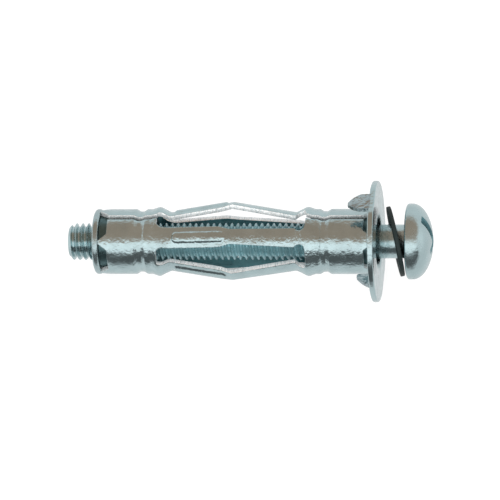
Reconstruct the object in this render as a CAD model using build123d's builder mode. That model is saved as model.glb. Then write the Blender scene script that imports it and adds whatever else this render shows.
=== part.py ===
import os
from math import cos, radians, sin

from build123d import *

# The anchor lies along X, its screw head at +X. The origin is the centre of the flange's wall face.
# Lengths are in millimetres. A setback is measured along X, into the sleeve, from the outer face of the
# nut at one end and from the wall face of the flange at the other.

# Whole anchor
anchor_length = 37.0  # outer face of the nut to the wall face of the flange
leg_count = 5
thread_diameter = 5.0
fit_clearance = 0.03  # each neck in the sleeve, all round
end_clearance = 0.02  # tongue tips to the collar and to the flange
overrun = 1.0  # how far a cut runs past what it cuts

# Sleeve: one sheet, stamped flat and rolled
sheet = 0.65
tube_over_thread = 3.6  # how much wider the tube is than the thread
seam_gap = 0.85
seam_turn = -5.0  # degrees about X from straight up
bend_radius = 0.5  # outer face, at every fold of the section
groove_setback = 6.25
groove_width = 1.3
groove_depth = 0.3
groove_land = 0.75  # straight tube from the groove to the bead
bead_run = 1.0  # length of the slope up to the bead
bead_height = 0.33
window_lip = 0.05  # how far the windows begin before the bead's top
valley_run = 1.5  # from the bead's top down to the valley
valley_depth = 0.425  # below the tube
belly_rise = 0.95  # of the crease above the tube

# Legs between the windows, seen from outside
nut_leg_width = 2.8
crease_width = 2.0
flange_leg_width = 2.6
shoulder_run = 1.5  # length over which the nut half narrows to the crease
root_flare = 0.45  # how much wider each side gets at the nut-side root
root_run = 0.6
leg_corner = 0.4
notch_radius = 0.8  # round relief at the flange-side root
notch_depth = 0.36
first_leg_turn = 180.0  # degrees about X from straight up: one leg points straight down

# Rib pressed outwards into the nut half of each leg
rib_valley_gap = 0.4
rib_crease_gap = 1.25
rib_width = 1.75
rib_corner = 0.6
rib_height = 0.28
rib_root = 0.2  # how deep the rib is rooted in the sheet
rib_taper = 35.0  # degrees
rib_edge = 0.2

# Tongues at the ends of the sleeve
tongue_turn = 6.0  # degrees about X from the legs
nut_tongue_length = 1.13
nut_tongue_base = 2.25
nut_tongue_tip = 0.45
flange_tongue_length = 0.93
flange_tongue_base = 2.7
flange_tongue_tip = 1.4

# Nut
collar_thickness = 0.85
collar_edge = 0.35
nut_tail = 1.1  # neck past the groove
bore_chamfer = 0.3

# Flange
flange_diameter = 16.0
flange_thickness = 0.75
flange_edge = 0.2
flat_depth = 0.3  # of the two flats in the rim
neck_wall = 0.45
neck_tail = 0.7  # neck past the groove
mouth_radius = 0.95

# Claws, bent from the rim at the two flats towards the wall
claw_length = 2.8
claw_width = 2.6
claw_thickness = 0.7
claw_lean = 0.45  # how far the tip leans in
claw_bow = 0.1
claw_point = 0.5  # width left at the tip
claw_straight_share = 0.4  # of its length, before it narrows to the point
claw_root = 1.6  # how far its foot reaches down the flange

# Screw
tip_reach = 3.5  # how far it stands out of the nut
crest_clearance = 0.05  # thread crests in the nut's bore, all round
tip_chamfer = 0.45
thread_setback = 3.0  # where the thread ends, short of the wall face
shank_step = 0.53  # how much thinner the smooth shank is than the thread
head_gap = 3.75  # from the outer face of the flange to the head
head_diameter = 10.0
head_height = 3.4
head_wall = 0.7
head_edge = 0.5  # of the wall, at the head's underside
slot_width = 1.2
slot_depth = 1.25
recess_span = 4.0
recess_wing_width = 0.95
recess_depth = 2.0
recess_taper = 9.0  # degrees

# Washer, leaning on the smooth shank
washer_diameter = 9.4
washer_thickness = 0.5
washer_edge = 0.1
washer_head_gap = 0.12  # between the head and the edge that comes nearest to it
washer_lean = 14.7  # degrees
washer_lean_turn = -82.0  # degrees about X from straight up: the side that leans to the flange
lean_clearance = 0.04  # hole to shank where they come nearest

# Places and radii that follow from the sizes
nut_face = -anchor_length
crease = nut_face / 2
thread_radius = thread_diameter / 2
tube_radius = (thread_diameter + tube_over_thread) / 2
valley_radius = tube_radius - valley_depth
belly_radius = tube_radius + belly_rise
sleeve_inside = tube_radius - sheet
neck_radius = sleeve_inside - fit_clearance
cut_radius = belly_radius + overrun
groove_end = groove_setback + groove_width / 2
bead_setback = groove_end + groove_land + bead_run
window_setback = bead_setback - window_lip
valley_setback = bead_setback + valley_run
nut_length = groove_end + nut_tail
neck_length = groove_end + neck_tail
nut_tip_setback = collar_thickness + end_clearance
window_start = nut_face + window_setback
window_end = -window_setback
leg_turns = [first_leg_turn + 360 * number / leg_count for number in range(leg_count)]


# Points of a rolled groove in a tube of this radius, from the end of the tube inwards, as setbacks
def groove_points(radius):
    return [
        (groove_setback - groove_width / 2, radius),
        (groove_setback, radius - groove_depth),
        (groove_end, radius),
    ]


# Line of the sleeve's section at a depth below its outer face, from the nut end to the flange end
def sleeve_line(depth):
    folds = groove_points(tube_radius) + [
        (bead_setback - bead_run, tube_radius),
        (bead_setback, tube_radius + bead_height),
        (valley_setback, valley_radius),
    ]
    nut_half = [(nut_tip_setback, tube_radius)] + folds
    flange_half = [(end_clearance, tube_radius)] + folds
    points = [(nut_face + setback, radius - depth) for setback, radius in nut_half]
    points.append((crease, belly_radius - depth))
    points.extend((-setback, radius - depth) for setback, radius in reversed(flange_half))
    return points


# Both sides of an outline that is symmetric about X, from the points of one side
def both_sides(points):
    return points + [(x, -y) for x, y in reversed(points)]


# One leg as it is seen from outside, standing up from the axis
leg_points = [
    (window_start - overrun, nut_leg_width / 2 + root_flare),
    (window_start, nut_leg_width / 2 + root_flare),
    (window_start + root_run, nut_leg_width / 2),
    (crease - shoulder_run, nut_leg_width / 2),
    (crease, crease_width / 2),
    (window_end - notch_radius, flange_leg_width / 2),
    (window_end, flange_leg_width / 2),
]
notch_centre = flange_leg_width / 2 - notch_depth + notch_radius
root_length = notch_radius + overrun
with BuildPart() as leg_form:
    with BuildSketch(Plane.XY):
        with BuildLine():
            FilletPolyline(*both_sides(leg_points), radius=leg_corner, close=True)
        make_face()
        with Locations((window_end - notch_radius + root_length / 2, 0)):
            Rectangle(root_length, 2 * notch_centre)
        with Locations(*[(window_end - notch_radius, side * notch_centre) for side in (-1, 1)]):
            Circle(notch_radius, mode=Mode.SUBTRACT)
    extrude(amount=cut_radius)

# What the stamping takes out between the legs
with BuildPart() as windows_form:
    with BuildSketch(Plane.YZ.offset(window_start)):
        Circle(cut_radius)
    extrude(amount=window_end - window_start)
    for turn in leg_turns:
        add(leg_form.part, rotation=(turn, 0, 0), mode=Mode.SUBTRACT)


# What the stamping takes out between the tongues of one end, from the edge to past the tips
def tongue_gaps(edge, tip, base_width, tip_width):
    reach = tip + (overrun if tip > edge else -overrun)
    tongue_points = [(edge, base_width / 2), (tip, tip_width / 2), (reach, tip_width / 2)]
    with BuildPart() as gaps:
        with BuildSketch(Plane.YZ.offset(edge)):
            Circle(cut_radius)
        extrude(amount=reach - edge)
        for turn in leg_turns:
            with BuildSketch(Plane.XY.rotated((turn + tongue_turn, 0, 0))):
                with BuildLine():
                    Polyline(*both_sides(tongue_points), close=True)
                make_face()
            extrude(amount=cut_radius + overrun, mode=Mode.SUBTRACT)
    return gaps.part


nut_gaps = tongue_gaps(
    nut_face + nut_tip_setback + nut_tongue_length,
    nut_face + nut_tip_setback,
    nut_tongue_base,
    nut_tongue_tip,
)
flange_gaps = tongue_gaps(
    -end_clearance - flange_tongue_length,
    -end_clearance,
    flange_tongue_base,
    flange_tongue_tip,
)

# Slope of the nut half of a leg that points straight up, and the middle of its rib on the outer face
leg_run = crease - nut_face - valley_setback
leg_rise = belly_radius - valley_radius
leg_slope = Vector(leg_run, 0, leg_rise).normalized()
leg_outward = Vector(-leg_rise, 0, leg_run).normalized()
rib_length = leg_run - rib_valley_gap - rib_crease_gap
rib_distance = rib_valley_gap + rib_length / 2
rib_middle = Vector(
    nut_face + valley_setback + rib_distance,
    0,
    valley_radius + leg_rise * rib_distance / leg_run,
)

# The rib, rooted in the sheet, and the hollow that the punch leaves under it
with BuildPart() as rib_form:
    with BuildSketch(Plane(rib_middle - leg_outward * rib_root, x_dir=leg_slope, z_dir=leg_outward)):
        RectangleRounded(rib_length, rib_width, rib_corner)
    extrude(amount=rib_root + rib_height, taper=rib_taper)
    fillet(rib_form.faces().sort_by(Axis(rib_middle, leg_outward))[-1].edges(), rib_edge)

hollow_root = sheet + overrun
with BuildPart() as hollow_form:
    with BuildSketch(Plane(rib_middle - leg_outward * hollow_root, x_dir=leg_slope, z_dir=leg_outward)):
        RectangleRounded(rib_length - sheet, rib_width - sheet, rib_corner - sheet / 2)
    extrude(amount=overrun + rib_height)

# Sleeve: the rolled section, its windows, ribs, tongues and seam
with BuildPart() as sleeve:
    with BuildSketch(Plane.XY):
        with BuildLine():
            outer_line = FilletPolyline(*sleeve_line(0), radius=bend_radius)
            inner_line = FilletPolyline(*sleeve_line(sheet), radius=bend_radius)
            Line(outer_line @ 0, inner_line @ 0)
            Line(outer_line @ 1, inner_line @ 1)
        make_face()
    revolve(axis=Axis.X)
    add(windows_form.part, mode=Mode.SUBTRACT)
    for turn in leg_turns:
        add(rib_form.part, rotation=(turn, 0, 0))
        add(hollow_form.part, rotation=(turn, 0, 0), mode=Mode.SUBTRACT)
    add(nut_gaps, mode=Mode.SUBTRACT)
    add(flange_gaps, mode=Mode.SUBTRACT)
    with BuildSketch(Plane.XY.rotated((seam_turn, 0, 0))):
        with Locations((crease, 0)):
            Rectangle(anchor_length + overrun, seam_gap)
    extrude(amount=cut_radius, mode=Mode.SUBTRACT)

# Nut: a collar that bears on the tongues and a neck that the groove grips
with BuildPart() as nut:
    with BuildSketch(Plane.XY):
        with BuildLine():
            neck_line = FilletPolyline(
                (nut_face + collar_thickness, neck_radius),
                *[(nut_face + setback, radius) for setback, radius in groove_points(neck_radius)],
                (nut_face + nut_length, neck_radius),
                radius=bend_radius,
            )
            Polyline(
                neck_line @ 0,
                (nut_face + collar_thickness, tube_radius),
                (nut_face, tube_radius),
                (nut_face, thread_radius + bore_chamfer),
                (nut_face + bore_chamfer, thread_radius),
                (nut_face + nut_length - bore_chamfer, thread_radius),
                (nut_face + nut_length, thread_radius + bore_chamfer),
                neck_line @ 1,
            )
        make_face()
    revolve(axis=Axis.X)
    fillet(nut.edges().filter_by(GeomType.CIRCLE).group_by(SortBy.RADIUS)[-1], collar_edge)

# One claw, at the upper flat: a bent strip cut to a point
claw_height = flange_diameter / 2 - flat_depth
claw_shoulder = -claw_length * claw_straight_share
with BuildPart() as claw_form:
    with BuildSketch(Plane.XZ):
        with BuildLine():
            outer_arc = SagittaArc((-claw_length, claw_height - claw_lean), (0, claw_height), claw_bow)
            inner_arc = SagittaArc(
                (-claw_length, claw_height - claw_lean - claw_thickness),
                (0, claw_height - claw_thickness),
                claw_bow,
            )
            Line(outer_arc @ 0, inner_arc @ 0)
            Polyline(
                outer_arc @ 1,
                (flange_thickness - flange_edge, claw_height),
                (flange_thickness - flange_edge, claw_height - claw_root),
                (0, claw_height - claw_root),
                inner_arc @ 1,
            )
        make_face()
    extrude(amount=claw_width / 2, both=True)
    with BuildSketch(Plane.XY):
        with BuildLine():
            sides = [
                SagittaArc(
                    (claw_shoulder, side * claw_width / 2),
                    (-claw_length, side * claw_point / 2),
                    -side * claw_bow,
                )
                for side in (-1, 1)
            ]
            Line(sides[0] @ 1, sides[1] @ 1)
            Polyline(
                sides[0] @ 0,
                (flange_thickness, -claw_width / 2),
                (flange_thickness, claw_width / 2),
                sides[1] @ 0,
            )
        make_face()
    extrude(amount=flange_diameter, mode=Mode.INTERSECT)

# Flange: a disc drawn to a neck, with two flats in its rim and a claw at each
with BuildPart() as flange:
    with BuildSketch(Plane.XY):
        with BuildLine():
            neck_ends = [(-neck_length, neck_radius), (0, neck_radius)]
            neck_folds = [(-setback, radius) for setback, radius in reversed(groove_points(neck_radius))]
            neck_points = [neck_ends[0], *neck_folds, neck_ends[1]]
            neck_outside = FilletPolyline(*neck_points, radius=bend_radius)
            neck_inside = FilletPolyline(
                *[(x, radius - neck_wall) for x, radius in neck_points[:-1]],
                (flange_thickness, neck_radius - neck_wall),
                radius=bend_radius,
            )
            Line(neck_outside @ 0, neck_inside @ 0)
            Polyline(
                neck_outside @ 1,
                (0, flange_diameter / 2),
                (flange_thickness, flange_diameter / 2),
                neck_inside @ 1,
            )
        make_face()
    revolve(axis=Axis.X)
    with BuildSketch(Plane.YZ.offset(-overrun)):
        Rectangle(flange_diameter + overrun, flange_diameter + overrun)
        Rectangle(flange_diameter + overrun, 2 * claw_height, mode=Mode.SUBTRACT)
    extrude(amount=flange_thickness + 2 * overrun, mode=Mode.SUBTRACT)
    wall_face, outer_face = flange.faces().filter_by(Axis.X).sort_by(Axis.X)[-2:]
    rim_edges = wall_face.outer_wire().edges() + outer_face.outer_wire().edges()
    fillet(rim_edges, flange_edge)
    fillet(flange.faces().sort_by(Axis.X)[-1].inner_wires().edges(), mouth_radius)
    for turn in (0, 180):
        add(claw_form.part, rotation=(turn, 0, 0))

# Screw: thread at crest diameter, smooth shank, domed head with a slot and a cross recess
screw_tip = nut_face - tip_reach
head_face = flange_thickness + head_gap
head_top = head_face + head_height
crest_radius = thread_radius - crest_clearance
shank_radius = (thread_diameter - shank_step) / 2
head_radius = head_diameter / 2
dome_rise = head_height - head_wall
with BuildPart() as screw:
    with BuildSketch(Plane.XY):
        with BuildLine():
            dome = EllipticalCenterArc(
                (head_face + head_wall, 0), dome_rise, head_radius, start_angle=0, arc_size=90
            )
            Polyline(
                dome @ 0,
                (screw_tip, 0),
                (screw_tip, crest_radius - tip_chamfer),
                (screw_tip + tip_chamfer, crest_radius),
                (-thread_setback, crest_radius),
                (-thread_setback, shank_radius),
                (head_face, shank_radius),
                (head_face, head_radius),
                dome @ 1,
            )
        make_face()
    revolve(axis=Axis.X)
    wall_face = screw.faces().filter_by(GeomType.CYLINDER).sort_by(Axis.X)[-1]
    fillet(wall_face.edges().filter_by(GeomType.CIRCLE).sort_by(Axis.X)[0], head_edge)
    with BuildSketch(Plane.YZ.offset(head_top)):
        Rectangle(slot_width, head_diameter)
    extrude(amount=-slot_depth, mode=Mode.SUBTRACT)
    with BuildSketch(Plane.YZ.offset(head_top)):
        Rectangle(recess_span, recess_wing_width)
        Rectangle(recess_wing_width, recess_span)
    extrude(amount=-recess_depth, taper=recess_taper, mode=Mode.SUBTRACT)

# Washer: it leans until its hole bears on the shank
lean_sine = sin(radians(washer_lean))
lean_cosine = cos(radians(washer_lean))
washer_hole_radius = (shank_radius + lean_clearance + washer_thickness / 2 * lean_sine) / lean_cosine
lean_side = Vector(0, 0, 1).rotate(Axis.X, washer_lean_turn)
washer_reach = washer_diameter / 2 * lean_sine + washer_thickness / 2 * lean_cosine
washer_plane = Plane(
    origin=(head_face - washer_head_gap - washer_reach, 0, 0),
    z_dir=Vector(lean_cosine, 0, 0) + lean_side * lean_sine,
)
with BuildPart() as washer:
    with BuildSketch(washer_plane):
        Circle(washer_diameter / 2)
        Circle(washer_hole_radius, mode=Mode.SUBTRACT)
    extrude(amount=washer_thickness / 2, both=True)
    fillet(washer.edges().filter_by(GeomType.CIRCLE), washer_edge)

sleeve.part.label = "sleeve"
nut.part.label = "nut"
flange.part.label = "flange"
screw.part.label = "screw"
washer.part.label = "washer"

os.makedirs("parts", exist_ok=True)
for piece in (sleeve.part, nut.part, flange.part, screw.part, washer.part):
    export_step(piece, f"parts/{piece.label}.step")
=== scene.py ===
from bisect import bisect_right
from functools import partial
from math import acos, asin, cos, degrees, pi, radians, sin, sqrt, tan

import bmesh
import bpy
from mathutils import Matrix, Vector


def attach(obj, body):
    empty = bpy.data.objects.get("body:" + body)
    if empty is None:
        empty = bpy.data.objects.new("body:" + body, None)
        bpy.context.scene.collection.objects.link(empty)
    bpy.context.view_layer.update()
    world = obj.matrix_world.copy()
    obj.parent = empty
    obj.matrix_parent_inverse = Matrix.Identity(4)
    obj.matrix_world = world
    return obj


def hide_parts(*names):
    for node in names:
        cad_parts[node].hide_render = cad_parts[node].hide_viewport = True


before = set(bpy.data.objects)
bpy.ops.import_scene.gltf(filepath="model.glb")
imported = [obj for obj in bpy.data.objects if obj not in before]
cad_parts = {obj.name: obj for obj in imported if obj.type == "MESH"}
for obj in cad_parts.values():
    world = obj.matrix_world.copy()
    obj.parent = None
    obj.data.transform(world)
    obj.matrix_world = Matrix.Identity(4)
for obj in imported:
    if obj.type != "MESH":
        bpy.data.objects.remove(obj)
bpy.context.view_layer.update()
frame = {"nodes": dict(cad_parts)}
mm = 0.001
mergeGap = 0.002 * mm  # points of one sheet or thread that meet
print("frame loaded:", ", ".join(frame["nodes"]))


# small helpers for lines, meshes and node trees

def roundedLine(points, radius, steps=6):
    # an open line of (x, r) with an arc at every corner
    line = [Vector(points[0])]
    for before, here, after in zip(points, points[1:], points[2:]):
        here = Vector(here)
        intoCorner = (here - Vector(before)).normalized()
        outOfCorner = (Vector(after) - here).normalized()
        turn = acos(max(-1.0, min(1.0, intoCorner.dot(outOfCorner))))
        if turn < 0.01:
            line.append(here)
            continue
        size = radius(here) if callable(radius) else radius
        room = 0.48 * min((here - Vector(before)).length, (Vector(after) - here).length)
        reach = min(size * tan(turn / 2), room)
        start, end = here - intoCorner * reach, here + outOfCorner * reach
        inward = (outOfCorner - intoCorner).normalized()
        centre = here + inward * (reach / tan(turn / 2) / cos(turn / 2))
        arcRadius = (start - centre).length
        for step in range(steps + 1):
            share = step / steps
            spoke = (start - centre) * sin((1 - share) * turn) + (end - centre) * sin(share * turn)
            line.append(centre + spoke.normalized() * arcRadius)
    line.append(Vector(points[-1]))
    return line


def heightAt(line, x):
    # r of a line of (x, r) at one x
    place = min(max(bisect_right([point[0] for point in line], x), 1), len(line) - 1)
    (x0, r0), (x1, r1) = line[place - 1], line[place]
    return r0 if x1 - x0 < 1e-9 else r0 + (r1 - r0) * (x - x0) / (x1 - x0)


def smoothStep(value, low, high):
    share = min(max((value - low) / (high - low), 0.0), 1.0)
    return share * share * (3 - 2 * share)


def atClock(x, clock, radius):
    # clock counts from the side that faces the camera, 90 is straight up
    return Vector((x, -cos(radians(clock)) * radius, sin(radians(clock)) * radius)) * mm


def latheMesh(name, profile, segments, closed, shift=None):
    # turns a line of (x, r) about X; shift can change r for each clock
    shape = bmesh.new()
    rings = []
    for x, r in profile:
        if r < 1e-6:
            rings.append([shape.verts.new(atClock(x, 0, 0))] * segments)
            continue
        ring = []
        for number in range(segments):
            clock = 360 * number / segments
            radius = shift(x, r, clock) if shift else r
            ring.append(shape.verts.new(atClock(x, clock, radius)))
        rings.append(ring)
    pairs = list(zip(rings, rings[1:]))
    if closed:
        pairs.append((rings[-1], rings[0]))
    for near, far in pairs:
        for number in range(segments):
            after = (number + 1) % segments
            corners = []
            for vert in (near[number], far[number], far[after], near[after]):
                if vert not in corners:
                    corners.append(vert)
            if len(corners) > 2:
                shape.faces.new(corners)
    return toMesh(name, shape)


def toMesh(name, shape, merge=1e-7):
    bmesh.ops.remove_doubles(shape, verts=shape.verts, dist=merge)
    bmesh.ops.recalc_face_normals(shape, faces=shape.faces)
    mesh = bpy.data.meshes.new(name)
    shape.to_mesh(mesh)
    shape.free()
    return mesh


def newPiece(name, mesh):
    piece = bpy.data.objects.new(name, mesh)
    bpy.context.scene.collection.objects.link(piece)
    return piece


def settle(piece):
    # all modifiers become plain mesh
    bpy.context.view_layer.update()
    evaluated = piece.evaluated_get(bpy.context.evaluated_depsgraph_get())
    mesh = bpy.data.meshes.new_from_object(evaluated)
    piece.modifiers.clear()
    old = piece.data
    piece.data = mesh
    mesh.name = piece.name
    bpy.data.meshes.remove(old)


def smoothFaces(piece, angle):
    piece.data.shade_smooth()
    piece.data.set_sharp_from_angle(angle=radians(angle))


def newTree(name, kind, inputs, outputs):
    tree = bpy.data.node_groups.new(name, kind)
    for direction, sockets in (("INPUT", inputs), ("OUTPUT", outputs)):
        for label, socketType, value in sockets:
            socket = tree.interface.new_socket(name=label, in_out=direction, socket_type=socketType)
            if value is not None:
                socket.default_value = value
    return tree, tree.nodes.new("NodeGroupInput").outputs, tree.nodes.new("NodeGroupOutput").inputs


def addNode(tree, kind, inputs=None, **settings):
    # one node, its settings, and its inputs as values or as sockets to link from
    node = tree.nodes.new(kind)
    for label, value in settings.items():
        setattr(node, label, value)
    for label, value in (inputs or {}).items():
        if isinstance(value, bpy.types.NodeSocket):
            tree.links.new(value, node.inputs[label])
        else:
            node.inputs[label].default_value = value
    return node


def mathNode(tree, operation, *values):
    return addNode(tree, "ShaderNodeMath", dict(enumerate(values)), operation=operation).outputs[0]


def noiseNode(tree, place, scale, detail):
    inputs = {"Vector": place, "Scale": scale, "Detail": detail}
    return addNode(tree, "ShaderNodeTexNoise", inputs).outputs["Fac"]


def placeParts(tree):
    # x, y and z of each point
    place = addNode(tree, "GeometryNodeInputPosition").outputs[0]
    return addNode(tree, "ShaderNodeSeparateXYZ", {0: place}).outputs


def aroundAxis(tree, x, clock, radius):
    # the node form of atClock
    front = mathNode(tree, "MULTIPLY", mathNode(tree, "COSINE", clock), radius)
    back = mathNode(tree, "MULTIPLY", front, -1.0)
    up = mathNode(tree, "MULTIPLY", mathNode(tree, "SINE", clock), radius)
    return addNode(tree, "ShaderNodeCombineXYZ", {"X": x, "Y": back, "Z": up}).outputs[0]


def paintFaces(tree, geometry, material, selection=None):
    inputs = {"Geometry": geometry, "Material": material}
    if selection is not None:
        inputs["Selection"] = selection
    return addNode(tree, "GeometryNodeSetMaterial", inputs).outputs[0]


def roundEdges(piece, width, segments, angle):
    bevel = piece.modifiers.new("roundEdges", "BEVEL")
    bevel.width = width * mm
    bevel.segments = segments
    bevel.limit_method = "ANGLE"
    bevel.angle_limit = radians(angle)
    settle(piece)


def combine(piece, other, operation):
    # the other piece's faces keep their own material
    boolean = piece.modifiers.new("combine", "BOOLEAN")
    boolean.operation = operation
    boolean.object = other
    boolean.solver = "EXACT"
    boolean.material_mode = "TRANSFER"


def useTree(piece, tree, values):
    # named inputs are set through their identifiers
    modifier = piece.modifiers.new(tree.name, "NODES")
    modifier.node_group = tree
    for item in tree.interface.items_tree:
        if item.item_type == "SOCKET" and item.in_out == "INPUT" and item.name in values:
            modifier[item.identifier] = values[item.name]


# shader groups and materials

plating = {
    "sheetColor": (0.47, 0.60, 0.62, 1),
    # painted shade: the inside colour is a darker teal for the sleeve's inner faces, standing in for the
    # shade inside the tube
    "insideShadeColor": (0.13, 0.33, 0.37, 1),
    "edgeColor": (0.90, 0.92, 0.92, 1),
    "tornColor": (0.56, 0.63, 0.65, 1),
    "turnedColor": (0.44, 0.56, 0.58, 1),
    # painted shade: the neck colour darkens the necks inside the sleeve, standing in for the shade in their
    # recess
    "neckShadeColor": (0.10, 0.17, 0.18, 1),
    "screwColor": (0.46, 0.59, 0.61, 1),
    # painted shade: the thread colour darkens the thread inside the sleeve and nut, and the drive slot and
    # recess, standing in for the shade there
    "threadShadeColor": (0.27, 0.48, 0.52, 1),
    "clawColor": (0.46, 0.57, 0.60, 1),
    "reliefDepth": 0.06,
    "clawRelief": 0.24,
}


def platingGroup():
    # uneven zinc: cloudy colour, patchy gloss and a fine grain
    tree, given, result = newTree("platingMottle", "ShaderNodeTree", [
        ("Bright Color", "NodeSocketColor", None),
        ("Dull Color", "NodeSocketColor", None),
        ("Gloss", "NodeSocketFloat", 0.18),
        ("Gloss Spread", "NodeSocketFloat", 0.12),
        ("Grain Scale", "NodeSocketFloat", 2600.0),
    ], [
        ("Color", "NodeSocketColor", None),
        ("Roughness", "NodeSocketFloat", None),
        ("Height", "NodeSocketFloat", None),
    ])
    place = addNode(tree, "ShaderNodeTexCoord").outputs["Object"]
    clouds = noiseNode(tree, place, 420.0, 4.0)
    patches = noiseNode(tree, place, 1100.0, 3.0)
    grain = addNode(tree, "ShaderNodeTexNoise", {
        "Vector": place, "Scale": given["Grain Scale"], "Detail": 2.0, "Roughness": 0.6,
    }).outputs["Fac"]
    cloudShare = addNode(tree, "ShaderNodeMapRange", {0: clouds, 1: 0.35, 2: 0.65}).outputs[0]
    color = addNode(tree, "ShaderNodeMix", data_type="RGBA")
    tree.links.new(cloudShare, color.inputs["Factor"])
    tree.links.new(given["Bright Color"], color.inputs[6])
    tree.links.new(given["Dull Color"], color.inputs[7])
    patchShare = addNode(tree, "ShaderNodeMapRange", {0: patches, 1: 0.3, 2: 0.7}).outputs[0]
    rough = mathNode(tree, "MULTIPLY_ADD", patchShare, given["Gloss Spread"], given["Gloss"])
    height = mathNode(tree, "MULTIPLY_ADD", patches, 1.5, grain)
    tree.links.new(color.outputs[2], result["Color"])
    tree.links.new(rough, result["Roughness"])
    tree.links.new(height, result["Height"])
    return tree


platingMottle = platingGroup()


def newMaterial(name):
    material = bpy.data.materials.new(name)
    material.use_nodes = True
    tree = material.node_tree
    tree.nodes.clear()
    shader = addNode(tree, "ShaderNodeBsdfPrincipled")
    output = addNode(tree, "ShaderNodeOutputMaterial")
    tree.links.new(shader.outputs[0], output.inputs["Surface"])
    return material, tree, shader


def zincMaterial(name, color, dull, gloss, spread, grainScale, bump, metal=1.0, depth=plating["reliefDepth"]):
    material, tree, shader = newMaterial(name)
    shader.inputs["Metallic"].default_value = metal
    mottle = addNode(tree, "ShaderNodeGroup", node_tree=platingMottle)
    for label, value in (
        ("Bright Color", color),
        ("Dull Color", tuple(part * dull for part in color[:3]) + (1,)),
        ("Gloss", gloss),
        ("Gloss Spread", spread),
        ("Grain Scale", grainScale),
    ):
        mottle.inputs[label].default_value = value
    relief = addNode(tree, "ShaderNodeBump", {
        "Strength": bump, "Distance": depth * mm, "Height": mottle.outputs["Height"],
    })
    tree.links.new(mottle.outputs["Color"], shader.inputs["Base Color"])
    tree.links.new(mottle.outputs["Roughness"], shader.inputs["Roughness"])
    tree.links.new(relief.outputs["Normal"], shader.inputs["Normal"])
    return material, tree, shader, relief, mottle


zincSheet = zincMaterial("zincSheet", plating["sheetColor"], 0.88, 0.12, 0.14, 2600.0, 0.75)[0]
# painted shade: darker, half-diffuse zinc for the sleeve's inner faces, standing in for the shade inside the
# tube
shadedInsideZinc = zincMaterial("shadedInsideZinc", plating["insideShadeColor"], 0.7, 0.3, 0.15, 2600.0, 0.7, metal=0.4)[0]
zincTurned = zincMaterial("zincTurned", plating["turnedColor"], 0.85, 0.18, 0.14, 3000.0, 0.5)[0]
zincClaw = zincMaterial(
    "zincClaw", plating["clawColor"], 0.7, 0.1, 0.1, 1700.0, 1.0, depth=plating["clawRelief"]
)[0]
# painted shade: darker zinc for the necks inside the sleeve, standing in for the shade in their recess
shadedNeckZinc = zincMaterial("shadedNeckZinc", plating["neckShadeColor"], 0.7, 0.25, 0.15, 3000.0, 0.5)[0]
zincScrew = zincMaterial("zincScrew", plating["screwColor"], 0.9, 0.17, 0.13, 2800.0, 0.4)[0]
# painted shade: darker, half-diffuse teal zinc for the thread inside the sleeve and nut and for the drive
# recess
shadedThreadZinc = zincMaterial("shadedThreadZinc", plating["threadShadeColor"], 0.8, 0.22, 0.14, 2800.0, 0.45, metal=0.6)[0]


def cutEdgeMaterial():
    # shear marks across the thickness of the stamped sheet
    material, tree, shader, relief, mottle = zincMaterial(
        "cutEdge", plating["edgeColor"], 0.88, 0.22, 0.16, 5000.0, 0.7, metal=0.6
    )
    place = addNode(tree, "ShaderNodeTexCoord").outputs["Object"]
    along = addNode(tree, "ShaderNodeMapping", {"Vector": place, "Scale": (1.0, 0.2, 0.2)}).outputs[0]
    marks = noiseNode(tree, along, 7000.0, 3.0)
    torn = addNode(tree, "ShaderNodeMapRange", {0: marks, 1: 0.46, 2: 0.66}).outputs[0]
    color = addNode(tree, "ShaderNodeMix", data_type="RGBA")
    color.inputs[7].default_value = plating["tornColor"]
    tree.links.new(torn, color.inputs["Factor"])
    tree.links.new(mottle.outputs["Color"], color.inputs[6])
    tree.links.new(color.outputs[2], shader.inputs["Base Color"])
    height = mathNode(tree, "MULTIPLY_ADD", marks, 1.4, mottle.outputs["Height"])
    tree.links.new(height, relief.inputs["Height"])
    return material


cutEdge = cutEdgeMaterial()


def rubberMaterial():
    material, tree, shader = newMaterial("blackRubber")
    shader.inputs["Specular IOR Level"].default_value = 0.3
    place = addNode(tree, "ShaderNodeTexCoord").outputs["Object"]
    bloom = noiseNode(tree, place, 700.0, 4.0)
    pores = noiseNode(tree, place, 6000.0, 2.0)
    color = addNode(tree, "ShaderNodeMix", data_type="RGBA")
    color.inputs[6].default_value = (0.006, 0.011, 0.011, 1)
    color.inputs[7].default_value = (0.016, 0.026, 0.026, 1)
    tree.links.new(bloom, color.inputs["Factor"])
    rough = addNode(tree, "ShaderNodeMapRange", {0: bloom, 1: 0.3, 2: 0.7, 3: 0.5, 4: 0.68}).outputs[0]
    relief = addNode(tree, "ShaderNodeBump", {"Strength": 0.4, "Distance": 0.015 * mm, "Height": pores})
    tree.links.new(color.outputs[2], shader.inputs["Base Color"])
    tree.links.new(rough, shader.inputs["Roughness"])
    tree.links.new(relief.outputs["Normal"], shader.inputs["Normal"])
    return material


blackRubber = rubberMaterial()
print("materials ready")


# sleeve: a stamped blank of five panels, rolled to a tube

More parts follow.
